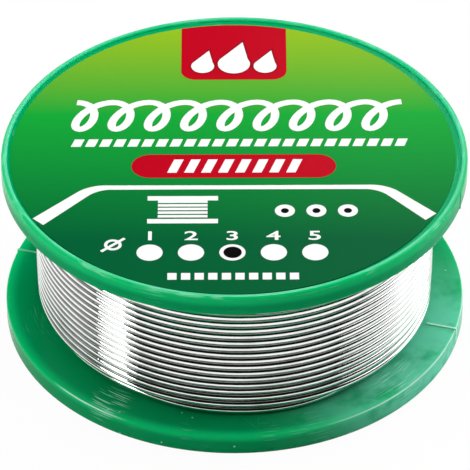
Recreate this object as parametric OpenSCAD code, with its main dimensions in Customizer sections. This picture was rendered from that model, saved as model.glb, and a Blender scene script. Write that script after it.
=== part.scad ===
// Small flanged reel of flux-cored solder wire with a round paper label.
// The reel is one moulding: two flanges on a thin drum, with a spindle tube and ribs inside it.
// The wire's outer layer is drawn turn by turn. A turn lies flat around the back, and steps down by
// its own width around the front. The step is half a torus, tilted about the Y axis, so that it
// meets its neighbours end to end without a kink. The layers under it are one sleeve.
// Origin at the centre of the lower rim's plane, +Z up along the spindle. Millimetres.

/* [Flanges] */
// Outer diameter of both flanges
flange_d = 50; // [48:0.5:60]
// Height of the reel over its two rims
reel_h = 21.2; // [18:0.1:26]
// Thickness of a flange at its rim
flange_t = 2.3; // [1.8:0.1:3]
// Width of the raised rim around a flange's outer face
rim_w = 0.65; // [0.5:0.05:1]
// Height of the rim above that face
rim_h = 0.3; // [0.2:0.05:0.6]
// Rounding of the rim's outer edge
rim_round = 0.2; // [0.1:0.05:0.4]
// Rounding of a flange's inner edge, beside the winding
edge_round = 0.15; // [0.05:0.05:0.4]

/* [Drum and spindle] */
// Outer diameter of the drum that the wire is wound on
drum_d = 36.5; // [34:0.1:37.5]
// Wall of the drum
drum_wall = 1.2; // [0.8:0.1:1.6]
// Bore for the spindle that the reel turns on
bore_d = 10; // [6:0.5:14]
// Chamfer at the open mouth of the bore
bore_chamfer = 0.4; // [0.2:0.1:0.6]
// Wall of the tube around the bore
tube_wall = 1.3; // [0.8:0.1:2]
// Number of ribs between tube and drum
rib_n = 4; // [3:1:6]
// Thickness of a rib
rib_t = 1; // [0.8:0.1:1.6]
// How far a rib's lower edge stands back from the flange's outer face
rib_inset = 1; // [0.5:0.1:3]

/* [Wire] */
// Diameter of the solder wire
wire_d = 0.8; // [0.7:0.1:1]
// Layers of wire on the drum, an even number, so that both ends lie at the lower flange
layer_n = 4; // [2:2:4]
// Least gap between neighbouring turns
turn_gap = 0.02; // [0.02:0.005:0.1]
// Gap between layers, and between the first layer and the drum
layer_gap = 0.02; // [0.02:0.01:0.05]
// Gap between the end turns and the flanges
side_gap = 0.05; // [0.03:0.01:0.1]
// Centre-line radius of the bend at each end of the wire
bend_r = 1.5; // [1.3:0.1:1.8]
// Angle around the reel at which the wire's outer end turns down
tail_angle = 75; // [40:1:120]
// How far both cut ends stand back from the lower flange's outer face
end_inset = 0.1; // [0:0.05:0.3]

/* [Anchor slots] */
// Side play of the wire in the slots that hold its two ends
slot_play = 0.2; // [0.1:0.05:0.3]
// Play beyond the bent wire at the far end of a slot
slot_end_play = 0.3; // [0.1:0.05:0.5]

/* [Flux core] */
// Diameter of the flux core inside the wire
flux_d = 0.28; // [0.2:0.01:0.36]
// Gap around the flux core
flux_gap = 0.005; // [0.005:0.005:0.02]

/* [Label] */
// Gap between the label's edge and the rim
label_gap = 0.69; // [0.2:0.01:1]
// Thickness of the label
label_t = 0.1; // [0.08:0.01:0.15]

/* [Moulding marks] */
// Width of the raised parting line on the flanges' inner faces
parting_w = 0.16; // [0.1:0.02:0.3]
// Height of the parting line
parting_h = 0.07; // [0.04:0.01:0.15]
// Direction of the parting line, as an angle around the reel
parting_angle = -16.4; // [-60:0.1:-5]
// Gap between the parting line's ends and the winding or the flange's edge
parting_gap = 0.15; // [0.1:0.05:0.5]
// Number of ejector pin marks on the lower flange
mark_n = 4; // [2:1:4]
// Diameter of an ejector pin mark
mark_d = 2.4; // [1.5:0.1:3.5]
// Depth of an ejector pin mark
mark_depth = 0.12; // [0.08:0.02:0.2]

/* [Hidden] */
$fn = 96;
wire_fn = 16;                                    // sides of the wire's cross-section on screen
eps = 0.01;                                      // takes a cut clear of the face it opens

flange_r = flange_d / 2;
recess_r = flange_r - rim_w;                     // inside of a rim
low_face = rim_h;                                // outer face of the lower flange, within its rim
high_face = reel_h - rim_h;                      // outer face of the upper flange, within its rim
drum_r = drum_d / 2;
bore_r = bore_d / 2;
tube_r = bore_r + tube_wall;
label_r = recess_r - label_gap;

wire_r = wire_d / 2;
layer_step = wire_d + layer_gap;
low_z = flange_t + side_gap + wire_r;            // centre line of the lowest turn
room_h = reel_h - 2 * (flange_t + side_gap);     // height of the room for the winding
high_z = low_z + room_h - wire_d;                // centre line of the highest turn
turn_n = floor((high_z - low_z) / (wire_d + turn_gap));
pitch = (high_z - low_z) / turn_n;
inner_r = layer_r(0);
under_r = layer_r(layer_n - 2);
outer_r = layer_r(layer_n - 1);
flat_d = wire_d - 0.004;                         // flat lengths are drawn thinner than the others,
lap_a = 0.1;                                     // and run into them by this angle
cut_z = low_face + end_inset;                    // plane of both cut ends
stub_l = low_z - bend_r - cut_z;
slot_w = wire_d + 2 * slot_play;
slot_l = bend_r + wire_r + slot_end_play;
channel_d = flux_d + 2 * flux_gap;

function layer_r(k) = drum_r + layer_gap + wire_r + k * layer_step;

// Places its children on a circle about the spindle; their +Y then points along that circle.
module at(angle, r, z = 0) {
    rotate([0, 0, angle]) translate([r, 0, z]) children();
}

// ---- reel ----

// What rounding by r takes off a corner at the origin, where the section lies at -X and +Y of it.
module corner_cut(r) {
    translate([-r, 0]) difference() {
        translate([0, -eps]) square([r + eps, r + eps]);
        translate([0, r]) circle(r = r);
    }
}

// Half of a flange's section, rim downwards, with its two rounded outer edges.
module flange_section() {
    difference() {
        square([flange_r, flange_t]);
        translate([-eps, -eps]) square([recess_r + eps, rim_h + eps]);
        translate([flange_r, 0]) corner_cut(rim_round);
        translate([flange_r, flange_t]) mirror([0, 1]) corner_cut(edge_round);
    }
}

// Half of the reel's section, with the drum still full.
module reel_section() {
    flange_section();
    translate([0, reel_h]) mirror([0, 1]) flange_section();
    translate([0, low_face]) square([drum_r, high_face - low_face]);
}

// The open space in the drum, around the spindle tube and its ribs, up to the upper flange.
module drum_hollow() {
    hollow_h = reel_h - flange_t - low_face;
    translate([0, 0, low_face - eps]) difference() {
        cylinder(r = drum_r - drum_wall, h = hollow_h + eps);
        cylinder(r = tube_r, h = hollow_h + eps);
        for (i = [0:rib_n - 1])
            rotate([0, 0, i * 360 / rib_n]) translate([0, -rib_t / 2, rib_inset + eps])
                cube([drum_r, rib_t, hollow_h - rib_inset]);
    }
}

module spindle_bore() {
    cylinder(r = bore_r, h = reel_h);
    translate([0, 0, low_face - eps])
        cylinder(r1 = bore_r + bore_chamfer + eps, r2 = bore_r, h = bore_chamfer + eps);
}

// Slot for one end of the wire, which bends down into it from the circle that it was wound on.
module anchor_slot() {
    end = slot_w / 2;
    translate([0, 0, low_face - eps]) linear_extrude(flange_t) {
        translate([-slot_w / 2, end]) square([slot_w, slot_l - 2 * end]);
        translate([0, end]) circle(r = end);
        translate([0, slot_l - end]) circle(r = end);
    }
}

// The raised line that the seam between the two side slides of the mould leaves on a flange.
module parting_line() {
    start = outer_r + wire_r + parting_gap;
    for (side = [0, 180])
        rotate([0, 0, parting_angle + side]) translate([start, -parting_w / 2, -parting_h])
            cube([flange_r - edge_round - parting_gap - start, parting_w, 2 * parting_h]);
}

module ejector_marks() {
    mark_at = (drum_r + recess_r) / 2;
    for (i = [0:mark_n - 1])
        at((i + 0.5) * 360 / mark_n, mark_at, low_face - eps)
            cylinder(d = mark_d, h = mark_depth + eps);
}

module reel() {
    color([0.02, 0.55, 0.33]) difference() {
        union() {
            rotate_extrude() reel_section();
            translate([0, 0, flange_t]) parting_line();
            translate([0, 0, reel_h - flange_t]) parting_line();
        }
        drum_hollow();
        spindle_bore();
        at(180, inner_r) mirror([0, 1, 0]) anchor_slot();
        at(tail_angle, outer_r) anchor_slot();
        ejector_marks();
    }
}

// ---- wire ----

// The wire laid flat around the spindle, from +X through the given angle.
module flat_length(r, angle) {
    rotate([0, 0, -lap_a]) rotate_extrude(angle = angle + 2 * lap_a)
        translate([r, 0]) circle(d = flat_d, $fn = wire_fn);
}

// Half a turn around the front, from -X to +X, which goes down by drop.
module front_half(r, drop) {
    translate([0, 0, -drop / 2]) rotate([0, -atan2(drop / 2, r), 180])
        rotate_extrude(angle = 180) translate([norm([r, drop / 2]), 0]) circle(d = wire_d, $fn = wire_fn);
}

// The layers that the outer one covers. The last turn of them is left out of the sleeve.
module inner_layers() {
    sleeve_h = high_z - wire_r - layer_gap - (flange_t + side_gap);
    translate([0, 0, flange_t + side_gap]) difference() {
        cylinder(r = under_r + wire_r, h = sleeve_h);
        translate([0, 0, -eps]) cylinder(r = drum_r + layer_gap / 2, h = sleeve_h + 2 * eps);
    }
}

// The last turn below the outer layer: around the front, and then out to it around the back.
module step_up() {
    front_half(under_r, 0);
    translate([(under_r - outer_r) / 2, 0, 0]) flat_length((under_r + outer_r) / 2, 180);
}

// Wound downwards, from -X at the upper flange to +X at the lower one.
module outer_layer() {
    for (i = [1:turn_n]) {
        translate([0, 0, (1 - i) * pitch]) front_half(outer_r, pitch);
        if (i < turn_n) translate([0, 0, -i * pitch]) flat_length(outer_r, 180);
    }
}

// A quarter bend from the winding down into a slot, and the straight stub to the cut end.
module anchored_end(beyond = 0) {
    translate([0, 0, -bend_r]) rotate([0, -90, 0])
        rotate_extrude(angle = 90) translate([bend_r, 0]) children();
    translate([0, bend_r, -bend_r - stub_l - beyond]) linear_extrude(stub_l + beyond) children();
}

module both_ends(beyond = 0) {
    at(180, inner_r, low_z) mirror([0, 1, 0]) anchored_end(beyond) children();
    at(tail_angle, outer_r, low_z) anchored_end(beyond) children();
}

module solder_wire() {
    color([0.78, 0.78, 0.77]) difference() {
        union() {
            inner_layers();
            translate([0, 0, high_z]) step_up();
            translate([0, 0, high_z]) outer_layer();
            translate([0, 0, low_z]) flat_length(outer_r, tail_angle);
            both_ends() circle(d = wire_d, $fn = wire_fn);
        }
        both_ends(beyond = eps) circle(d = channel_d, $fn = wire_fn);
    }
}

// The flux runs through the whole wire; here it is drawn where the two cut ends show it.
module flux_core() {
    color([0.78, 0.55, 0.2]) both_ends() circle(d = flux_d, $fn = wire_fn);
}

// ---- label ----

module label() {
    color([0.1, 0.62, 0.22]) translate([0, 0, high_face]) cylinder(r = label_r, h = label_t);
}

reel();
solder_wire();
flux_core();
label();
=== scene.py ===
import math

import bmesh
import bpy
from mathutils import Matrix, Vector, noise


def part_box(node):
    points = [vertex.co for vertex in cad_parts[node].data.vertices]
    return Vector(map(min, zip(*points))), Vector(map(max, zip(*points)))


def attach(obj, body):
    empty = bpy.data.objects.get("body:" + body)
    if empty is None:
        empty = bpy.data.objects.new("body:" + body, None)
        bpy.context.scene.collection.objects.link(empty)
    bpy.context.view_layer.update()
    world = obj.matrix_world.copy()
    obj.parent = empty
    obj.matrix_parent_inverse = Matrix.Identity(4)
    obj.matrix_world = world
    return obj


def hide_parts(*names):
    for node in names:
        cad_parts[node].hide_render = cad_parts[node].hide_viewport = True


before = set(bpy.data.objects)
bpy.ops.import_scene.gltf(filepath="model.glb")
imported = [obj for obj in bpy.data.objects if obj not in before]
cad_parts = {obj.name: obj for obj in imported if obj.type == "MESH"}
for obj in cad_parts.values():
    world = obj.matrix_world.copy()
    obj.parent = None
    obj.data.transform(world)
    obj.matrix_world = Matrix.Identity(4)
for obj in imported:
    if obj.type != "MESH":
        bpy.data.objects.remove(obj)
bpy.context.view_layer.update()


# ---- Reel ----
# One moulding in glossy green polystyrene: two flanges with raised rims, a thin drum between them,
# and inside it a spindle tube on four ribs. The wire's two ends pass through slots in the lower
# flange, and the seam of the mould's side slides stands up as a fine line across both flanges.

mm = 0.001
reel_low, reel_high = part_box("reel")
flange_r = reel_high[0]
reel_h = reel_high[2] - reel_low[2]
flange_t = 2.3 * mm
rim_w = 0.65 * mm
rim_h = 0.3 * mm
drum_r = 18.25 * mm
drum_wall = 1.2 * mm
bore_r = 5 * mm
bore_chamfer = 0.4 * mm
tube_r = 6.3 * mm
recess_r = flange_r - rim_w
recess_z = reel_h - rim_h              # floor of the upper flange's recess
roof_z = reel_h - flange_t             # inner face of the upper flange
round_steps = 240                      # facets around the reel
rim_round = 0.44 * mm                  # the corners' radii, from the upper rim's outer corner
rim_inner_round = 0.18 * mm
roof_round = 0.15 * mm                 # the upper flange's lower edge
edge_round = 0.2 * mm                  # the lower flange's two edges, and both ends of the drum
mouth_round = 0.1 * mm                 # where the tube and the drum open at the lower side
foot_round = 0.08 * mm                 # the lower rim's inner corner
fine_round = 0.05 * mm


def spun(bm, outline, steps):
    """A body of revolution about Z. Each point of its closed outline is (r, z, radius of the corner)."""
    corners = [bm.verts.new((r, 0, z)) for r, z, radius in outline]
    bm.faces.new(corners)
    for corner, (r, z, radius) in zip(corners, outline):
        if radius > 0:
            bmesh.ops.bevel(bm, geom=[corner], offset=radius, offset_type="OFFSET", segments=6,
                            profile=0.5, affect="VERTICES", clamp_overlap=False, material=-1)
    face = list(bm.faces)[-1]
    section = list(face.verts) + list(face.edges)
    bmesh.ops.delete(bm, geom=[face], context="FACES_ONLY")
    bmesh.ops.spin(bm, geom=section, cent=(0, 0, 0), axis=(0, 0, 1), dvec=(0, 0, 0),
                   angle=math.tau, steps=steps, use_merge=True, use_duplicate=False)
    bmesh.ops.remove_doubles(bm, verts=bm.verts, dist=1e-6)
    bmesh.ops.recalc_face_normals(bm, faces=bm.faces)


def block(bm, low, high, place):
    """A box between two corners, moved by the matrix place. Returns its vertices."""
    size = [b - a for a, b in zip(low, high)]
    centre = Vector([(a + b) / 2 for a, b in zip(low, high)])
    matrix = place @ Matrix.Translation(centre) @ Matrix.Diagonal((*size, 1))
    return bmesh.ops.create_cube(bm, size=1, matrix=matrix)["verts"]


def solid(name, bm):
    """Ends the bmesh as a smooth-shaded object at the origin."""
    mesh = bpy.data.meshes.new(name)
    bm.to_mesh(mesh)
    bm.free()
    for polygon in mesh.polygons:
        polygon.use_smooth = True
    piece = bpy.data.objects.new(name, mesh)
    bpy.context.scene.collection.objects.link(piece)
    return piece


def evaluated(piece):
    """The mesh that a piece's modifiers, or a text's letters, come to."""
    view = bpy.context.evaluated_depsgraph_get()
    return bpy.data.meshes.new_from_object(piece.evaluated_get(view))


def combine(piece, tool, operation):
    """Adds the tool's solids to the piece, or cuts them out of it, and deletes the tool."""
    step = piece.modifiers.new("combine", "BOOLEAN")
    step.operation = operation
    step.solver = "EXACT"
    step.object = tool
    result = evaluated(piece)
    piece.modifiers.clear()
    piece.data = result
    bpy.data.objects.remove(tool)


def around(angle, r=0, z=0):
    """The place on a circle about the spindle; its +Y points along that circle."""
    return Matrix.Rotation(math.radians(angle), 4, "Z") @ Matrix.Translation((r, 0, z))


bm = bmesh.new()
spun(bm, [
    (bore_r + bore_chamfer, rim_h, 0),
    (tube_r, rim_h, mouth_round),
    (tube_r, roof_z, 0),
    (drum_r - drum_wall, roof_z, 0),
    (drum_r - drum_wall, rim_h, mouth_round),
    (recess_r, rim_h, fine_round),
    (recess_r, 0, foot_round),
    (flange_r, 0, edge_round),
    (flange_r, flange_t, edge_round),
    (drum_r, flange_t, edge_round),
    (drum_r, roof_z, edge_round),
    (flange_r, roof_z, roof_round),
    (flange_r, reel_h, rim_round),
    (recess_r, reel_h, rim_inner_round),
    (recess_r, recess_z, fine_round),
    (bore_r, recess_z, fine_round),
    (bore_r, rim_h + bore_chamfer, 0),
], round_steps)
reel = solid("reel_moulding", bm)

# ribs, and the seam as a thin plate along each flange's section that stands proud of it
wire_r = 0.4 * mm
outer_r = 21.13 * mm                   # centre line of the outer layer of wire
rib_t = 1 * mm
rib_lift = 1 * mm                      # a rib's lower edge above the lower flange's outer face
rib_overlap = 0.3 * mm                 # how far a rib runs into the tube and the upper flange
seam_angle = -16.4
seam_w = 0.28 * mm
seam_round = 0.045 * mm
seam_on_face = 0.1 * mm
seam_on_edge = 0.05 * mm
seam_gap = 0.15 * mm                   # from the winding to the seam's inner end
seam_from = outer_r + wire_r + seam_gap
bm = bmesh.new()
for quarter in range(4):
    block(bm, (tube_r - rib_overlap, -rib_t / 2, rim_h + rib_lift),
          (drum_r - drum_wall / 2, rib_t / 2, roof_z + rib_overlap), around(90 * quarter))
for side in (0, 180):
    for low, high in ((rim_h, flange_t + seam_on_face), (roof_z - seam_on_face, recess_z)):
        plate = block(bm, (seam_from, -seam_w / 2, low), (flange_r + seam_on_edge, seam_w / 2, high),
                      around(seam_angle + side))
        edges = {e for v in plate for e in v.link_edges}
        bmesh.ops.bevel(bm, geom=list(edges), offset=seam_round, offset_type="OFFSET", segments=2,
                        profile=0.5, affect="EDGES", clamp_overlap=True, material=-1)
combine(reel, solid("ribs_and_seam", bm), "UNION")

# slots for the wire's two ends, and the round marks of the ejector pins
inner_r = 18.67 * mm                   # centre line of the first layer of wire
head_angle = 180                       # where the wire begins, against the drum
tail_angle = 75
slot_w = 1.2 * mm
slot_l = 2.2 * mm
mark_r = 1.2 * mm
mark_depth = 0.12 * mm
bm = bmesh.new()
for place, turn in ((around(head_angle, inner_r), -1), (around(tail_angle, outer_r), 1)):
    centre = place @ Matrix.Translation((0, turn * slot_w / 2, (rim_h + flange_t) / 2))
    pin = bmesh.ops.create_cone(bm, cap_ends=True, segments=32, radius1=slot_w / 2, radius2=slot_w / 2,
                                depth=flange_t, matrix=centre)["verts"]
    along = place.to_3x3() @ Vector((0, turn, 0))
    far = [v for v in pin if (v.co - centre.translation).dot(along) > 1e-7]
    bmesh.ops.translate(bm, verts=far, vec=along * (slot_l - slot_w))
for corner in range(4):
    middle = around(45 + 90 * corner, (drum_r + recess_r) / 2, rim_h)
    bmesh.ops.create_cone(bm, cap_ends=True, segments=40, radius1=mark_r, radius2=mark_r,
                          depth=2 * mark_depth, matrix=middle)
combine(reel, solid("slots_and_marks", bm), "DIFFERENCE")
for polygon in reel.data.polygons:
    polygon.use_smooth = True
reel.data.set_sharp_from_angle(angle=math.radians(40))
flat_faces = reel.modifiers.new("flat_faces", "WEIGHTED_NORMAL")
flat_faces.keep_sharp = True
flat_faces.weight = 80


def put(tree, kind, sockets=None, **settings):
    """Adds a node. sockets maps an input's name or number to its value or to the output that feeds it."""
    made = tree.nodes.new(kind)
    for name, value in settings.items():
        setattr(made, name, value)
    for key, value in (sockets or {}).items():
        if isinstance(value, bpy.types.NodeSocket):
            tree.links.new(value, made.inputs[key])
        else:
            made.inputs[key].default_value = value
    return made


def calc(tree, operation, *values, clamp=False):
    """The output of a Math node, or of a chain of them where there are more than two values."""
    made = put(tree, "ShaderNodeMath", dict(enumerate(values[:2])), operation=operation, use_clamp=clamp)
    if len(values) > 2:
        return calc(tree, operation, made.outputs[0], *values[2:], clamp=clamp)
    return made.outputs[0]


def apart(tree, first, second):
    """How far two values are from each other."""
    return calc(tree, "ABSOLUTE", calc(tree, "SUBTRACT", first, second))


def vector(tree, operation, *values):
    """The outputs of a Vector Math node."""
    return put(tree, "ShaderNodeVectorMath", dict(enumerate(values)), operation=operation).outputs


def joined(tree, x, y, z):
    """A vector from three values or outputs."""
    return put(tree, "ShaderNodeCombineXYZ", {"X": x, "Y": y, "Z": z}).outputs[0]


def parted(tree, place):
    """The X, Y and Z outputs of a place, and how far it is from the spindle's axis."""
    x, y, z = put(tree, "ShaderNodeSeparateXYZ", {0: place}).outputs
    return x, y, z, vector(tree, "LENGTH", joined(tree, x, y, 0.0))["Value"]


def ramp(tree, value, low, high, to_low=0.0, to_high=1.0):
    """value between low and high, carried smoothly to between to_low and to_high."""
    sockets = {"Value": value, "From Min": low, "From Max": high, "To Min": to_low, "To Max": to_high}
    return put(tree, "ShaderNodeMapRange", sockets, interpolation_type="SMOOTHSTEP").outputs["Result"]


def blend(tree, factor, first, second):
    """A colour between two colours, which are the Mix node's inputs 6 and 7 and its output 2."""
    return put(tree, "ShaderNodeMix", {0: factor, 6: first, 7: second}, data_type="RGBA").outputs[2]


def mottled(tree, place, scale, detail):
    """A noise, as one value around a half."""
    return put(tree, "ShaderNodeTexNoise", {"Vector": place, "Scale": scale, "Detail": detail}).outputs[0]


def cloudy(tree, place, scale, low, high, detail=2.0):
    """Soft patches of a noise, 0 below low and 1 above high."""
    return ramp(tree, mottled(tree, place, scale, detail), low, high)


def hairline(tree, value, width):
    """1 along the line where a noise passes its middle value, and 0 beside it."""
    return ramp(tree, apart(tree, value, 0.5), 0.0, width, 1.0, 0.0)


def near(tree, place, x, y, inner, outer):
    """1 around a point of the lower flange's inner face, in millimetres, and 0 beyond the outer distance."""
    away = vector(tree, "DISTANCE", place, (x * mm, y * mm, flange_t))["Value"]
    return ramp(tree, away, inner * mm, outer * mm, 1.0, 0.0)


def new_group(name, inputs, outputs):
    """A node group with inputs of these values and with these outputs, all of them numbers but Place."""
    group = bpy.data.node_groups.new(name, "ShaderNodeTree")
    group.interface.new_socket("Place", in_out="INPUT", socket_type="NodeSocketVector")
    for title, value in inputs.items():
        made = group.interface.new_socket(title, in_out="INPUT", socket_type="NodeSocketFloat")
        made.default_value = value
    for title in outputs:
        group.interface.new_socket(title, in_out="OUTPUT", socket_type="NodeSocketFloat")
    return group, group.nodes.new("NodeGroupInput").outputs, group.nodes.new("NodeGroupOutput").inputs


def in_group(tree, group, sockets):
    """Places a node group and returns its outputs."""
    return put(tree, "ShaderNodeGroup", sockets, node_tree=group).outputs


def new_material(name):
    """A material with its Principled BSDF and the Object coordinates."""
    made = bpy.data.materials.new(name)
    made.use_nodes = True
    tree = made.node_tree
    return made, tree, tree.nodes["Principled BSDF"], put(tree, "ShaderNodeTexCoord").outputs["Object"]


# fine dust, straight hair scratches and scuffs around the reel that handling leaves on a glossy face
speck_scale = 900.0                    # cells of about 1.1 mm, of which few hold a speck
speck_rarity = 0.83
speck_size = 0.15
hair_turns = (20, 77, 131)             # three ways in which scratches run, in degrees
hair_scale = (1 / 40, 1 / 1900, 1 / 300)
hair_w = 0.016
streak_along = 8.0                     # how soon a scuff changes around the reel, and across that way
streak_across = 7500.0
handling, given, gives = new_group("handling_marks", {"Dust": 0.5, "Scratches": 0.5, "Scuffs": 0.5},
                                   ("Mask", "Height"))
spot_cells = put(handling, "ShaderNodeTexVoronoi", {"Vector": given["Place"], "Scale": speck_scale},
                 feature="F1").outputs
draw = put(handling, "ShaderNodeSeparateColor", {0: spot_cells["Color"]}).outputs[0]
lucky = calc(handling, "GREATER_THAN", draw, speck_rarity)
size = calc(handling, "MULTIPLY", cloudy(handling, given["Place"], 260.0, 0.35, 0.7), speck_size)
spot = calc(handling, "MULTIPLY", lucky, calc(handling, "LESS_THAN", spot_cells["Distance"], size))
hairs = []
for number, turn in enumerate(hair_turns):
    laid = put(handling, "ShaderNodeMapping",
               {"Vector": given["Place"], "Location": (0.013 * number, 0.007 * number, 0),
                "Rotation": (0.0, 0.35 - 0.3 * number, math.radians(turn)),
                "Scale": hair_scale}, vector_type="TEXTURE").outputs[0]
    hairs.append(hairline(handling, mottled(handling, laid, 1.0, 0.0), hair_w))
scratch = calc(handling, "MULTIPLY", cloudy(handling, given["Place"], 170.0, 0.54, 0.68),
               calc(handling, "MAXIMUM", *hairs))
x, y, z, span = parted(handling, given["Place"])
way = vector(handling, "NORMALIZE", joined(handling, x, y, 0.0))[0]
across = calc(handling, "ADD", span, calc(handling, "MULTIPLY", z, 1.1))
ring = vector(handling, "ADD", vector(handling, "MULTIPLY", way, (streak_along, streak_along, 0.0))[0],
              joined(handling, 0.0, 0.0, calc(handling, "MULTIPLY", across, streak_across)))[0]
scuff = ramp(handling, mottled(handling, ring, 1.0, 1.0), 0.57, 0.65)
handling.links.new(calc(handling, "ADD", calc(handling, "MULTIPLY", spot, given["Dust"]),
                        calc(handling, "MULTIPLY", scratch, given["Scratches"]),
                        calc(handling, "MULTIPLY", scuff, given["Scuffs"]), clamp=True), gives["Mask"])
handling.links.new(calc(handling, "SUBTRACT", spot, scratch), gives["Height"])

# the green plastic: even in the mass, with painted glow where it is thin and painted highlights on rims,
# edges and seam, paler (partly a painted highlight) and duller on the rims, where it rubs, and in the
# scratches
green = (0.0003, 0.39, 0.13, 1)
# painted glow: lighter greens where light would come through thin plastic
glow_green = (0.003, 0.64, 0.21, 1)     # where light comes through the flanges' round edges
wall_glow_green = (0.01, 0.86, 0.46, 1)      # where it comes out again at the recess's low wall
# painted highlight, mixed with rubbing, along the rims' top
rubbed_highlight_green = (0.14, 0.66, 0.39, 1)
# scuffs, and painted light on the right of the lower flange
scuffed_and_lit_green = (0.17, 0.8, 0.53, 1)
# dust, scratches and scuffs, and the painted reflection streaks
mark_and_reflection_green = (0.35, 0.9, 0.66, 1)
# painted highlight on the lower flange's edge and the seam's crest
highlight_green = (0.62, 1.0, 0.84, 1)
plastic, tree, shader, place = new_material("reel_plastic")
shader.inputs["IOR"].default_value = 1.5
shader.inputs["Specular IOR Level"].default_value = 0.03
shader.inputs["Coat Roughness"].default_value = 0.04
shader.inputs["Subsurface Weight"].default_value = 0.55
shader.inputs["Subsurface Radius"].default_value = (0.2, 1.0, 0.6)
shader.inputs["Subsurface Scale"].default_value = 1.0 * mm
x, y, z, span = parted(tree, place)
half_h = reel_h / 2
above_middle = calc(tree, "SUBTRACT", z, half_h)
in_lower_half = calc(tree, "LESS_THAN", above_middle, 0.0)
height = calc(tree, "ABSOLUTE", above_middle)
cloud = mottled(tree, place, 140.0, 3.0)
rim_width = ramp(tree, span, recess_r - 0.1 * mm, recess_r)
# painted highlight along the very top of the rims, patchy like rubbing
rubbed_and_highlight = calc(tree, "MULTIPLY", ramp(tree, height, half_h - 0.06 * mm, half_h - 0.005 * mm), rim_width,
              ramp(tree, cloud, 0.3, 0.7, 0.35, 1.0))

# painted glow, a lighter green where the plastic is thin: the upper rim, the lower flange's edge and the
# recess's low wall, stronger towards the front
to_front = ramp(tree, calc(tree, "ADD", x, y), -3 * mm, 20 * mm, 1.0, 0.35)
from_edge = apart(tree, height, half_h - flange_t)       # from the level of the flanges' inner faces
rim_glow = calc(tree, "MULTIPLY", ramp(tree, above_middle, half_h - 1.5 * mm, half_h - 0.6 * mm),
                ramp(tree, span, recess_r - 0.02 * mm, recess_r + 0.1 * mm))
edge_glow = calc(tree, "MULTIPLY", ramp(tree, from_edge, 0.1 * mm, 0.9 * mm, 1.0, 0.0),
                 ramp(tree, span, flange_r - 1.5 * mm, flange_r - 0.2 * mm), in_lower_half)
painted_glow = calc(tree, "MULTIPLY", calc(tree, "MAXIMUM", rim_glow, edge_glow), to_front)
low_wall_glow = calc(tree, "MULTIPLY", ramp(tree, apart(tree, span, recess_r), 0.02 * mm, 0.1 * mm, 1.0, 0.0),
                ramp(tree, above_middle, half_h - rim_h, half_h - rim_h + 0.08 * mm))

# the corners that catch the light: the upper rim's round, and the lower flange's upper edge at the
# right and at a patch to the left of the front, which get more coat and a painted highlight
rounded = calc(tree, "MULTIPLY", ramp(tree, above_middle, half_h - 0.5 * mm, half_h - 0.3 * mm), rim_width)
highlight_places = calc(tree, "MAXIMUM", ramp(tree, x, 9 * mm, 13 * mm),
               near(tree, place, x=-15.8, y=-19.2, inner=2.5, outer=5.5))
inner_edge = calc(tree, "MULTIPLY", ramp(tree, from_edge, 0.1 * mm, 0.3 * mm, 1.0, 0.0),
                  ramp(tree, span, flange_r - 0.3 * mm, flange_r - 0.15 * mm), highlight_places)
edge_highlight = calc(tree, "MULTIPLY", ramp(tree, from_edge, 0.08 * mm, 0.16 * mm, 1.0, 0.0),
                 ramp(tree, span, flange_r - 0.17 * mm, flange_r - 0.08 * mm), highlight_places,
                 ramp(tree, cloud, 0.35, 0.6, 0.6, 1.0))

# painted highlight on the seam's crest on the lower flange, brightest at the right
off_seam = apart(tree, calc(tree, "MULTIPLY", x, math.sin(math.radians(seam_angle))),
                 calc(tree, "MULTIPLY", y, math.cos(math.radians(seam_angle))))
seam_highlight = calc(tree, "MULTIPLY", ramp(tree, off_seam, 0.1 * mm, 0.17 * mm, 1.0, 0.0),
             ramp(tree, x, -20 * mm, 20 * mm, 0.3, 1.0),
             ramp(tree, span, seam_from, seam_from + 0.1 * mm), in_lower_half)

# the stretch to the right of the front, scuffed and paler with painted light, two patches of painted
# reflection streaks, and handling
scuffed_and_lit = calc(tree, "MULTIPLY", near(tree, place, x=19.5, y=-12, inner=5, outer=21),
               cloudy(tree, place, 300.0, 0.15, 0.6, 5.0))
# painted reflections of the wire, as streaks on the lower flange
reflection_streaks = calc(tree, "MAXIMUM", near(tree, place, x=-13.2, y=-19.0, inner=1.3, outer=2.8),
               near(tree, place, x=17.0, y=-15.6, inner=1.5, outer=4.5))
facing = put(tree, "ShaderNodeNewGeometry").outputs["True Normal"]
upright = put(tree, "ShaderNodeSeparateXYZ", {0: facing}).outputs["Z"]
level = calc(tree, "GREATER_THAN", calc(tree, "ABSOLUTE", upright), 0.9)
scratched = calc(tree, "MULTIPLY", level, ramp(tree, x, -10 * mm, 12 * mm), 0.12)
scuffed = calc(tree, "MULTIPLY", cloudy(tree, place, 230.0, 0.52, 0.7), 0.16)
scuffed_rim = calc(tree, "MULTIPLY", rounded, cloudy(tree, place, 170.0, 0.4, 0.6), 0.45)
marks = in_group(tree, handling, {
    "Place": place, "Dust": 0.9, "Scratches": scratched,
    "Scuffs": calc(tree, "MAXIMUM", reflection_streaks, scuffed, scuffed_rim)})

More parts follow.
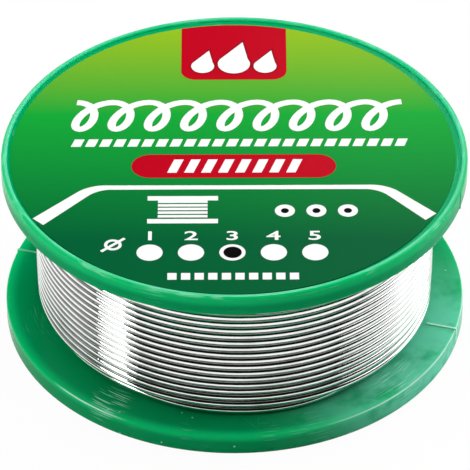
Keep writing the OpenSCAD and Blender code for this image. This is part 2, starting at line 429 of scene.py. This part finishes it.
body_colour = blend(tree, low_wall_glow, blend(tree, painted_glow, green, glow_green), wall_glow_green)
body_colour = blend(tree, rubbed_and_highlight, body_colour, rubbed_highlight_green)
body_colour = blend(tree, calc(tree, "MULTIPLY", scuffed_and_lit, 0.95), body_colour, scuffed_and_lit_green)
body_colour = blend(tree, marks["Mask"], body_colour, mark_and_reflection_green)
body_colour = blend(tree, calc(tree, "MAXIMUM", seam_highlight, edge_highlight), body_colour, highlight_green)
tree.links.new(body_colour, shader.inputs["Base Color"])
glossy = calc(tree, "MULTIPLY", calc(tree, "MAXIMUM", rounded, inner_edge, seam_highlight), to_front, 0.3)
tree.links.new(glossy, shader.inputs["Coat Weight"])
dull = calc(tree, "ADD", ramp(tree, cloud, 0.2, 0.8, 0.1, 0.2),
            calc(tree, "MULTIPLY", calc(tree, "MAXIMUM", rubbed_and_highlight, scuffed_and_lit), 0.15),
            calc(tree, "MULTIPLY", marks["Mask"], 0.3))
tree.links.new(dull, shader.inputs["Roughness"])
orange_peel = calc(tree, "MULTIPLY", mottled(tree, place, 420.0, 1.0), 0.6)
relief = calc(tree, "ADD", orange_peel, marks["Height"])
bump = put(tree, "ShaderNodeBump", {"Strength": 0.35, "Distance": 0.01 * mm, "Height": relief})
tree.links.new(bump.outputs[0], shader.inputs["Normal"])
reel.data.materials.clear()
reel.data.materials.append(plastic)
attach(reel, "root")
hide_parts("reel")


# ---- Solder wire ----
# Bright drawn tin wire, wound in four layers. Each turn of the outer layer lies flat around the
# back and steps down by its own width around the front; the layers under it are one sleeve here.
# Both ends bend down into the lower flange's slots, and their cuts show the flux core's channel.

side_gap = 0.05 * mm
under_r = 20.31 * mm                   # centre line of the layer below the outer one
low_z = flange_t + side_gap + wire_r
high_z = roof_z - side_gap - wire_r
turn_n = 19
pitch = (high_z - low_z) / turn_n
wire_sides = 14
turn_steps = 180                       # lengths around one turn
step_from = 205                        # the front stretch over which a turn steps down, in degrees
step_to = 325
sink = 0.27 * mm                       # how far the lowest turns sink, and over how many turns
sinking_turns = 4.5
unevenness = 0.02 * mm
sway_around = 2.73                     # how soon the unevenness changes around the reel and over the turns
sway_over_turns = 0.945
slips = ((0.38 * mm, 180, 205, 235, 262),      # depth, and the angles between which it grows and fades
         (0.65 * mm, 285, 315, 365, 430))
bend_r = 1.5 * mm
cut_z = 0.4 * mm
channel_r = 0.145 * mm
channel_depth = 0.6 * mm


def wound(bm, start, angle, course, first_length):
    """Winds wire about Z from the angle start. course gives (r, z) for each angle. Returns the end ring."""
    steps = round(turn_steps * abs(angle) / 360)
    standing = Matrix.Rotation(math.radians(90), 4, "X")
    turn = bmesh.new()
    length = turn.verts.layers.float.new("length")
    rise = turn.verts.layers.float.new("rise")
    ring = bmesh.ops.create_circle(turn, segments=wire_sides, radius=wire_r,
                                   matrix=around(start, outer_r) @ standing)["verts"]
    bmesh.ops.spin(turn, geom=ring + list(turn.edges), cent=(0, 0, 0), axis=(0, 0, 1), dvec=(0, 0, 0),
                   angle=math.radians(angle), steps=steps, use_duplicate=False)
    for number, vert in enumerate(turn.verts):
        turned = number // wire_sides * angle / steps
        r, z = course(start + turned)
        vert[rise] = vert.co.z / wire_r
        flat = Vector((vert.co.x, vert.co.y, 0))
        vert.co += flat.normalized() * (r - outer_r) + Vector((0, 0, z))
        vert[length] = first_length + math.radians(turned) * outer_r
    part = bpy.data.meshes.new("turn")
    turn.to_mesh(part)
    turn.free()
    bm.from_mesh(part)
    bpy.data.meshes.remove(part)
    bm.verts.ensure_lookup_table()
    return bm.verts[-wire_sides:]


def sway(angle, turn):
    """Small unevenness in the lay, alike on neighbouring turns. turn also counts the parts of a turn."""
    way = math.radians(angle)
    spot = Vector((sway_around * math.cos(way), sway_around * math.sin(way), sway_over_turns * turn))
    return noise.noise(spot)


def eased(value, low, high):
    """0 below low, 1 above high, and a smooth rise between."""
    part = min(max((value - low) / (high - low), 0), 1)
    return part * part * (3 - 2 * part)


def stepped(turn):
    """The course of one turn of the outer layer, which starts at the left. The lowest turns sink into
    the slack above the flange, and the last one slips inwards in two places between given angles."""
    def course(angle):
        part = min(max((angle - step_from) / (step_to - step_from), 0), 1)
        down = part - math.sin(math.tau * part) / (2 * math.tau)
        whole = (angle - head_angle) / 360 + turn
        sunk = sink * eased(whole, turn_n - sinking_turns, turn_n - 1)
        z = max(high_z - pitch * (turn + down) - sunk, low_z)
        r = outer_r + unevenness * sway(angle, whole)
        if turn == turn_n - 1:
            for depth, begins, full, returns, ends in slips:
                r -= depth * (eased(angle, begins, full) - eased(angle, returns, ends))
        return (r, z)
    return course


def risen(angle):
    """The course of the last inner turn: around the front, and out to the outer layer around the back."""
    part = min(max((angle - 360) / 180, 0), 1)
    return (under_r + (outer_r - under_r) * (1 - math.cos(math.pi * part)) / 2, high_z)


def anchored(bm, ring, angle, r, turn):
    """Bends the wire's end down a quarter of a circle, about a pivot at this angle and radius, runs it to
    the cut plane, and opens the flux channel in the cut."""
    edges = {e for v in ring for e in v.link_edges if e.other_vert(v) in ring}
    pivot = around(angle, r, low_z - bend_r).translation
    outwards = around(angle).to_3x3() @ Vector((1, 0, 0))
    bent = bmesh.ops.spin(bm, geom=list(ring) + list(edges), cent=pivot, axis=outwards, dvec=(0, 0, 0),
                          angle=turn * math.pi / 2, steps=10, use_duplicate=False)["geom_last"]
    rim = [e for e in bent if isinstance(e, bmesh.types.BMEdge)]
    drawn = bmesh.ops.extrude_edge_only(bm, edges=rim)["geom"]
    end = [v for v in drawn if isinstance(v, bmesh.types.BMVert)]
    for vert in end:
        vert.co.z = cut_z
    last = [e for e in drawn if isinstance(e, bmesh.types.BMEdge) and all(v in end for v in e.verts)]
    cut = bmesh.ops.contextual_create(bm, geom=last)["faces"]
    bmesh.ops.inset_region(bm, faces=cut, thickness=wire_r - channel_r, use_even_offset=True)
    mouth = bmesh.ops.extrude_discrete_faces(bm, faces=cut)["faces"]
    bmesh.ops.translate(bm, verts=list(mouth[0].verts), vec=(0, 0, channel_depth))


bm = bmesh.new()
bm.verts.layers.float.new("length")    # along the wire from the outer layer's start
bm.verts.layers.float.new("rise")      # across it, from -1 at its lower side to 1 at its upper side
turn_length = math.tau * outer_r
wound(bm, head_angle, 360, risen, -turn_length)
for turn in range(turn_n - 1):
    wound(bm, head_angle, 360, stepped(turn), turn * turn_length)
tail = wound(bm, head_angle, 180 + tail_angle, stepped(turn_n - 1), (turn_n - 1) * turn_length)
anchored(bm, tail, tail_angle, outer_r, -1)
head = wound(bm, head_angle + 60, -60, lambda angle: (inner_r, low_z), 0)
anchored(bm, head, head_angle, inner_r, 1)

# the lowest turn of the layer below, which shows under the last outer one, and the sleeve
ring_in = 0.11 * mm
sleeve_gap = 0.01 * mm                 # to the drum
top_gap = 0.02 * mm                    # to the last inner turn, which lies on the sleeve
sleeve_low = flange_t + side_gap
sleeve_high = high_z - wire_r - top_gap
sleeve_r = under_r + wire_r
foot_r = under_r - 0.2 * mm            # the sleeve's lower corner is cut back for the slipped turn
wound(bm, head_angle, 360, lambda angle: (under_r - ring_in, low_z), 0)
sleeve = bmesh.new()
spun(sleeve, [
    (drum_r + sleeve_gap, sleeve_low, 0),
    (foot_r, sleeve_low, 0),
    (foot_r, sleeve_low + wire_r, 0),
    (sleeve_r - 0.1 * mm, sleeve_low + 3 * wire_r, 0),
    (sleeve_r, sleeve_low + 5 * wire_r, 0),
    (sleeve_r, sleeve_high, 0),
    (drum_r + sleeve_gap, sleeve_high, 0),
], round_steps)
sleeve_mesh = bpy.data.meshes.new("sleeve")
sleeve.to_mesh(sleeve_mesh)
sleeve.free()
bmesh.ops.remove_doubles(bm, verts=bm.verts, dist=1e-6)
bmesh.ops.holes_fill(bm, edges=[e for e in bm.edges if e.is_boundary], sides=0)
bmesh.ops.recalc_face_normals(bm, faces=bm.faces)
bm.from_mesh(sleeve_mesh)
wire = solid("wound_wire", bm)

# tin, with lengthwise drawing lines, a light dulling in places and tiny dents from the winding, and
# painted shade: grey on top of each turn, in the groove under the next one
tin = (0.93, 0.935, 0.93, 1)
dull_tin = (0.77, 0.775, 0.765, 1)
groove_shade_tin = (0.3, 0.3, 0.295, 1)
line_length = 1 / 90                   # a drawing line's length and width, in metres
line_width = 1 / 6000
metal, tree, shader, place = new_material("tin_alloy")
shader.inputs["Metallic"].default_value = 1.0
z, span = parted(tree, place)[2:]
length = put(tree, "ShaderNodeAttribute", attribute_name="length").outputs["Fac"]
rise = put(tree, "ShaderNodeAttribute", attribute_name="rise").outputs["Fac"]
lengthwise = joined(tree, calc(tree, "DIVIDE", length, line_length),
                    calc(tree, "DIVIDE", span, line_width), calc(tree, "DIVIDE", z, line_width))
drawing_lines = mottled(tree, lengthwise, 1.0, 3.0)
tarnish = mottled(tree, place, 260.0, 4.0)
drawn_colour = blend(tree, ramp(tree, tarnish, 0.45, 0.75), tin, dull_tin)
drawn_colour = blend(tree, ramp(tree, rise, 0.72, 0.9), drawn_colour, groove_shade_tin)
tree.links.new(drawn_colour, shader.inputs["Base Color"])
rough = calc(tree, "ADD", ramp(tree, tarnish, 0.3, 0.8, 0.03, 0.1),
             calc(tree, "MULTIPLY", drawing_lines, 0.04))
tree.links.new(rough, shader.inputs["Roughness"])
dents = mottled(tree, place, 1400.0, 2.0)
relief = calc(tree, "ADD", calc(tree, "MULTIPLY", drawing_lines, 0.5), dents)
bump = put(tree, "ShaderNodeBump", {"Strength": 0.75, "Distance": 0.012 * mm, "Height": relief})
tree.links.new(bump.outputs[0], shader.inputs["Normal"])
wire.data.materials.append(metal)
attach(wire, "root")
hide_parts("solder_wire")


# ---- Flux core ----
# The rosin inside the wire, amber and glassy, drawn out with the metal around it. It shows only at
# the wire's two cut ends, where the CAD model's own two short plugs of it are kept.

amber = (0.62, 0.36, 0.08, 1)
dark_amber = (0.42, 0.2, 0.03, 1)
rosin, tree, shader, place = new_material("rosin_flux")
clouding = mottled(tree, place, 5000.0, 2.0)
tree.links.new(blend(tree, clouding, amber, dark_amber), shader.inputs["Base Color"])
shader.inputs["Roughness"].default_value = 0.25
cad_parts["flux_core"].data.materials.clear()
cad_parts["flux_core"].data.materials.append(rosin)


# ---- Label ----
# A die-cut disc of gloss-coated adhesive paper in the upper flange's recess, printed edge to edge
# in green with red and white devices. Its print is plain shapes and numbers, placed in millimetres.

label_low, label_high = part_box("label")
label_r = label_high[0]
label_z = label_high[2]
label_t = label_high[2] - label_low[2]
paper_r = label_r + 0.16 * mm          # the die cut is a little off the middle, and the print more so
paper_off = Vector((-0.15, -0.3, 0)) * mm
print_off = Vector((0.08, -0.97, 0)) * mm
print_spread = 1.007
ink_t = 0.004 * mm
WHITE_INK, RED_INK, DARK_RED_INK, BLACK_INK = range(1, 5)      # material numbers; the paper's is 0


def raised(bm, tops, ink):
    """Gives printed faces their thickness, down into the paper."""
    foot = bmesh.ops.extrude_face_region(bm, geom=tops, use_keep_orig=True)["geom"]
    foot_points = [part for part in foot if isinstance(part, bmesh.types.BMVert)]
    for point in foot_points:
        point.co.z = label_z - label_t / 2
    sheet = {f for v in foot_points for f in v.link_faces} | set(tops)
    bmesh.ops.recalc_face_normals(bm, faces=list(sheet))
    for part in sheet:
        part.material_index = ink


def printed(bm, outline, ink, level):
    """One flat printed shape with this outline of (x, y) points. A higher level lies over a lower one."""
    top = label_z + ink_t * level
    raised(bm, [bm.faces.new([bm.verts.new((x * mm, y * mm, top)) for x, y in outline])], ink)


def arc(x, y, r, start, end, steps=24):
    """Points on a circle, from one angle to another in degrees."""
    way = [math.radians(start + (end - start) * i / steps) for i in range(steps + 1)]
    return [(x + r * math.cos(a), y + r * math.sin(a)) for a in way]


def disc(bm, x, y, r, ink, level):
    """One printed dot."""
    printed(bm, arc(x, y, r, 0, 360, 40)[:-1], ink, level)


def bars(bm, x, y, width, height, count=1, pitch=0, lean=0, level=1):
    """A row of white bars that lean to the right. The first one's lower left corner is at (x, y)."""
    for left in [x + pitch * i for i in range(count)]:
        printed(bm, [(left, y), (left + width, y), (left + width + lean, y + height),
                     (left + lean, y + height)], WHITE_INK, level)


def stroke(bm, points, widths, level):
    """A white line through the points, as wide at each point as widths says."""
    edges = []
    for i, point in enumerate(points):
        before = Vector(points[max(i - 1, 0)])
        after = Vector(points[min(i + 1, len(points) - 1)])
        way = (after - before).normalized()
        side = Vector((-way.y, way.x)) * widths[i] / 2
        top = label_z + ink_t * (level + 0.8 * i / len(points))
        edges.append([bm.verts.new((*((Vector(point) + turn * side) * mm), top)) for turn in (1, -1)])
    tops = [bm.faces.new((a[0], a[1], b[1], b[0])) for a, b in zip(edges, edges[1:])]
    raised(bm, tops, WHITE_INK)


bm = bmesh.new()
bmesh.ops.create_circle(bm, cap_ends=True, segments=round_steps, radius=paper_r,
                        matrix=Matrix.Translation(paper_off + Vector((0, 0, label_low[2]))))
top = bmesh.ops.extrude_face_region(bm, geom=list(bm.faces))["geom"]
bmesh.ops.translate(bm, verts=[v for v in top if isinstance(v, bmesh.types.BMVert)], vec=(0, 0, label_t))
bmesh.ops.recalc_face_normals(bm, faces=bm.faces)
paper_points = len(bm.verts)

# red tab hanging from the paper's upper edge, with three drops that have dark borders
edge_r = (paper_r / mm - 0.04) / print_spread
edge_x, edge_y = (paper_off - print_off).xy / mm / print_spread
tab_left, tab_right, tab_low, tab_corner = -5.84, 5.64, 14.1, 1.6
tab_up = math.degrees(math.acos((tab_right - edge_x) / edge_r))
tab_down = math.degrees(math.acos((tab_left - edge_x) / edge_r))
tab = arc(edge_x, edge_y, edge_r, tab_up, tab_down)
tab += arc(tab_left + tab_corner, tab_low + tab_corner, tab_corner, 180, 270, 8)
tab += arc(tab_right - tab_corner, tab_low + tab_corner, tab_corner, 270, 360, 8)
printed(bm, tab, RED_INK, 1)


def drop(bm, x, y, r, ink, level):
    """A round drop with its point upwards, leaning to the right."""
    body = arc(x, y, r, 150, 390, 30)
    printed(bm, body + [(x + 0.55 * r, y + 2.3 * r)], ink, level)


drop_border = 0.22
for x, y, r in ((-3.5, 16.6, 1.25), (-0.1, 17.0, 1.75), (3.3, 16.6, 1.25)):
    drop(bm, x, y, r + drop_border, DARK_RED_INK, 2)
    drop(bm, x, y, r, WHITE_INK, 3)

# the long coil of wire in the place of a title, and a fine row of dashes under it
coil_left, coil_right, coil_mid, coil_half = -17.8, 17.2, 7.6, 2.4
coil_loops, loop_steps, loop_swing, coil_lean, coil_w = 9, 28, 1.7, 0.32, 0.9
coil = []
for i in range(coil_loops * loop_steps + 1):
    way = math.tau * i / loop_steps
    y = coil_half * math.cos(way)
    x = coil_left + (coil_right - coil_left) * i / (coil_loops * loop_steps)
    coil.append((x + loop_swing * math.sin(way) + coil_lean * y, coil_mid + y))
stroke(bm, coil, [coil_w] * len(coil), 1)
bars(bm, x=-17.5, y=2.1, width=1.05, height=1.3, count=24, pitch=1.5, lean=0.4)

# red pill with a row of leaning bars
pill_x, pill_y, pill_half, pill_r = -0.14, -1.36, 8.81, 2.04
pill = arc(pill_x + pill_half, pill_y, pill_r, -90, 90) + arc(pill_x - pill_half, pill_y, pill_r, 90, 270)
printed(bm, pill, RED_INK, 1)
bars(bm, x=-7.2, y=-2.5, width=1.0, height=2.3, count=8, pitch=1.8, lean=0.75, level=2)

# white line across the label, which slopes down and widens towards both edges
rule_y, bend_left, bend_right, rule_bend_r, bend_angle, bend_steps = -5.05, -13.3, 13.9, 3.95, 42, 8
rule_left, rule_right = (-20.6, -10.85), (20.46, -10.19)
rule_end_w, rule_bend_w, rule_mid_w, rule_taper = 1.6, 1.25, 0.68, 0.065
left_bend = arc(bend_left, rule_y - rule_bend_r, rule_bend_r, 90 + bend_angle, 90, bend_steps)
right_bend = arc(bend_right, rule_y - rule_bend_r, rule_bend_r, 90, 90 - bend_angle, bend_steps)
bend_w = [rule_bend_w - rule_taper * i for i in range(bend_steps + 1)]
stroke(bm, [rule_left, *left_bend, (0, rule_y), *right_bend, rule_right],
       [rule_end_w, *bend_w, rule_mid_w, *reversed(bend_w), rule_end_w], 1)

# sign of a reel, with two flanges and five turns, and three cross-sections of cored wire
for y in (-7.3, -11.2):
    bars(bm, x=-9.2, y=y, width=7.4, height=0.75)
for i in range(5):
    bars(bm, x=-8.1, y=-10.2 + 0.62 * i, width=5.2, height=0.42)
core_x, core_y, core_pitch, core_r, core_outer_r = 5.2, -9.1, 3.3, 0.42, 1.05
for i in range(3):
    disc(bm, core_x + core_pitch * i, core_y, core_outer_r, WHITE_INK, 1)
    disc(bm, core_x + core_pitch * i, core_y, core_r, BLACK_INK, 2)

# a scale of five dots, the third of them marked, a diameter sign, and a row of squares
dot_n, dot_x, dot_y, dot_pitch, dot_r = 5, -8.88, -16.1, 4.29, 1.36
marked_x, marked_r = -0.28, 0.95
sign_x, sign_y, sign_r, sign_w = -12.7, -14.8, 0.75, 0.34
for i in range(dot_n):
    disc(bm, dot_x + dot_pitch * i, dot_y, dot_r, WHITE_INK, 1)
disc(bm, marked_x, dot_y, marked_r, BLACK_INK, 2)
stroke(bm, [(sign_x - 1.2, sign_y - 1.1), (sign_x + 1.2, sign_y + 1.1)], [sign_w] * 2, 2)
stroke(bm, arc(sign_x, sign_y, sign_r, 0, 360), [sign_w] * 25, 2)
bars(bm, x=-7.0, y=-20.6, width=0.95, height=1.1, count=10, pitch=1.4)

# plain numbers over the dots
number_y, number_size, number_stretch, number_bold = -14.0, 2.1, 1.45, 0.03
for i in range(dot_n):
    text = bpy.data.curves.new("number", "FONT")
    text.body = str(i + 1)
    text.size = number_size * mm
    text.align_x = "CENTER"
    text.offset = number_bold * mm
    text.extrude = ink_t / 2
    lettering = bpy.data.objects.new("number", text)
    bpy.context.scene.collection.objects.link(lettering)
    figure = evaluated(lettering)
    where = Matrix.Translation(((dot_x + dot_pitch * i) * mm, number_y * mm, label_z + ink_t / 2))
    figure.transform(where @ Matrix.Diagonal((number_stretch, 1, 1, 1)))
    closed = bmesh.new()
    closed.from_mesh(figure)
    bmesh.ops.remove_doubles(closed, verts=closed.verts, dist=1e-7)
    closed.to_mesh(figure)
    closed.free()
    count = len(bm.faces)
    bm.from_mesh(figure)
    bm.faces.ensure_lookup_table()
    for part in bm.faces[count:]:
        part.material_index = WHITE_INK
    bpy.data.objects.remove(lettering)
prints = list(bm.verts)[paper_points:]
bmesh.ops.scale(bm, verts=prints, vec=(print_spread, print_spread, 1))
bmesh.ops.translate(bm, verts=prints, vec=print_off)
label = solid("paper_label", bm)
for polygon in label.data.polygons:
    polygon.use_smooth = False

# the printed green runs from lime at the far edge through leaf green to deep green at the near one,
# and is a shade deeper below the white line
deep_green = (0.001, 0.125, 0.037, 1)
leaf_green = (0.008, 0.38, 0.04, 1)
lime_green = (0.32, 0.52, 0.013, 1)
deep_y, leaf_y, lime_y = -15 * mm, 7 * mm, 24 * mm
shade_green = (0, 0.04, 0.02, 1)
shade = 0.12
shade_y = -6.05 * mm
shade_bend_x = 14.5 * mm               # beyond this the white line slopes down, and the shade with it
shade_slope = 0.95
printed_green, tree, shader, place = new_material("printed_paper")
x, y = parted(tree, place)[:2]
to_leaf = put(tree, "ShaderNodeMapRange", {"Value": y, "From Min": deep_y, "From Max": leaf_y})
to_lime = put(tree, "ShaderNodeMapRange", {"Value": y, "From Min": leaf_y, "From Max": lime_y})
near_green = blend(tree, to_leaf.outputs["Result"], deep_green, leaf_green)
field_green = blend(tree, to_lime.outputs["Result"], near_green, lime_green)
beyond = calc(tree, "MAXIMUM", calc(tree, "SUBTRACT", calc(tree, "ABSOLUTE", x), shade_bend_x), 0.0)
shade_from = calc(tree, "SUBTRACT", shade_y, calc(tree, "MULTIPLY", beyond, shade_slope))
below = calc(tree, "MULTIPLY", calc(tree, "LESS_THAN", y, shade_from), shade)
tree.links.new(blend(tree, below, field_green, shade_green), shader.inputs["Base Color"])
shader.inputs["Specular IOR Level"].default_value = 0.04
marks = in_group(tree, handling, {"Place": place, "Dust": 0.1, "Scratches": 0.2, "Scuffs": 0.0})
tree.links.new(ramp(tree, marks["Mask"], 0, 1, 0.34, 0.5), shader.inputs["Roughness"])
label.data.materials.append(printed_green)
inks = (("white_ink", (0.98, 0.98, 0.97, 1)), ("red_ink", (0.53, 0.0005, 0.013, 1)),
        ("dark_red_ink", (0.33, 0.002, 0.01, 1)), ("black_ink", (0.001, 0.001, 0.001, 1)))
thinnest_ink = 0.96
for name, colour in inks:
    ink, tree, shader, place = new_material(name)
    laid = mottled(tree, place, 2500.0, 2.0)
    thinner = tuple(c * thinnest_ink for c in colour[:3]) + (1,)
    tree.links.new(blend(tree, laid, colour, thinner), shader.inputs["Base Color"])
    tree.links.new(ramp(tree, laid, 0, 1, 0.32, 0.42), shader.inputs["Roughness"])
    shader.inputs["Specular IOR Level"].default_value = 0.05
    label.data.materials.append(ink)
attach(label, "root")
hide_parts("label")


# ---- Stage ----
# A plain white table in white surroundings, with softboxes over the reel and at both sides of it,
# and three small ones beside them. The camera stands above the front edge.

table_half = 3
table_drop = 0.01 * mm                 # so that it doesn't share a plane with the lower rim
table_white = 0.96
bm = bmesh.new()
bmesh.ops.create_grid(bm, x_segments=2, y_segments=2, size=table_half,
                      matrix=Matrix.Translation((0, 0, -table_drop)))
floor = solid("floor", bm)
paint, tree, shader, place = new_material("white_table")
shader.inputs["Base Color"].default_value = (0.9, 0.9, 0.9, 1)
shader.inputs["Roughness"].default_value = 0.9
shader.inputs["Specular IOR Level"].default_value = 0.0
paint.cycles.emission_sampling = "NONE"
rays = put(tree, "ShaderNodeLightPath").outputs
seen = calc(tree, "MAXIMUM", rays["Is Camera Ray"], rays["Is Glossy Ray"], rays["Is Transmission Ray"])
glow = put(tree, "ShaderNodeEmission", {"Color": (1, 1, 1, 1), "Strength": 1.0}).outputs[0]
lit = put(tree, "ShaderNodeMixShader",
          {0: calc(tree, "MULTIPLY", seen, table_white), 1: shader.outputs[0], 2: glow}).outputs[0]
behind = put(tree, "ShaderNodeNewGeometry").outputs["Backfacing"]
clear = put(tree, "ShaderNodeBsdfTransparent").outputs[0]
one_sided = put(tree, "ShaderNodeMixShader", {0: behind, 1: lit, 2: clear}).outputs[0]
tree.links.new(one_sided, tree.nodes["Material Output"].inputs["Surface"])
floor.data.materials.append(paint)

world = bpy.data.worlds.new("studio")
bpy.context.scene.world = world
world.use_nodes = True
tree = world.node_tree
tree.nodes.clear()
dim = put(tree, "ShaderNodeBackground", {"Color": (1, 1, 1, 1), "Strength": 0.004}).outputs[0]
white = put(tree, "ShaderNodeBackground", {"Color": (1, 1, 1, 1), "Strength": 1.0}).outputs[0]
rays = put(tree, "ShaderNodeLightPath").outputs
sky = put(tree, "ShaderNodeMixShader", {0: rays["Is Camera Ray"], 1: dim, 2: white}).outputs[0]
tree.links.new(sky, put(tree, "ShaderNodeOutputWorld").inputs["Surface"])


def softbox(name, azimuth, elevation, distance, width, height, radiance, lean=0):
    """An area lamp that faces the reel from this direction, as bright as radiance says, where 1 is white.
    It leans to the right, as the reel sees it, by lean degrees."""
    lamp = bpy.data.lights.new(name, "AREA")
    lamp.shape = "RECTANGLE"
    lamp.size = width
    lamp.size_y = height
    lamp.energy = radiance * math.pi * width * height
    turned, lifted = math.radians(azimuth), math.radians(elevation)
    away = Vector((math.cos(turned), math.sin(turned), math.tan(lifted))).normalized()
    stand = bpy.data.objects.new(name, lamp)
    stand.location = Vector((0, 0, reel_h / 2)) + away * distance
    facing = away.to_track_quat("Z", "Y").to_matrix() @ Matrix.Rotation(math.radians(lean), 3, "Z")
    stand.rotation_euler = facing.to_euler()
    bpy.context.scene.collection.objects.link(stand)


softbox("overhead_softbox", azimuth=90, elevation=86, distance=0.6, width=0.27, height=0.27, radiance=7.2)
softbox("left_softbox", azimuth=200, elevation=34, distance=0.4, width=0.09, height=0.7, radiance=4.2,
        lean=26)
softbox("right_softbox", azimuth=32, elevation=30, distance=0.4, width=0.46, height=0.48, radiance=2.3)
softbox("right_lamp", azimuth=36, elevation=26, distance=0.4, width=0.1, height=0.1, radiance=3.0)
softbox("left_card", azimuth=148, elevation=22, distance=0.4, width=0.62, height=0.4, radiance=0.3)
softbox("back_card", azimuth=77, elevation=38, distance=0.14, width=0.03, height=0.03, radiance=3.0)

# the camera stands half a metre off, looks down at the reel's middle and is turned a little on its axis
camera_aim = Matrix.Translation((0.05 * mm, 0, 9.8 * mm))
camera_distance = 508.8 * mm
camera_elevation = 38.16
camera_roll = -0.168
camera_data = bpy.data.cameras.new("camera")
camera_data.lens = 358.855
camera_data.sensor_width = 36
camera = bpy.data.objects.new("camera", camera_data)
camera.matrix_world = (camera_aim @ Matrix.Rotation(math.radians(90 - camera_elevation), 4, "X")
                       @ Matrix.Translation((0, 0, camera_distance))
                       @ Matrix.Rotation(math.radians(camera_roll), 4, "Z"))
bpy.context.scene.collection.objects.link(camera)
bpy.context.scene.camera = camera
bpy.context.scene.view_settings.view_transform = "Standard"

bpy.context.view_layer.update()
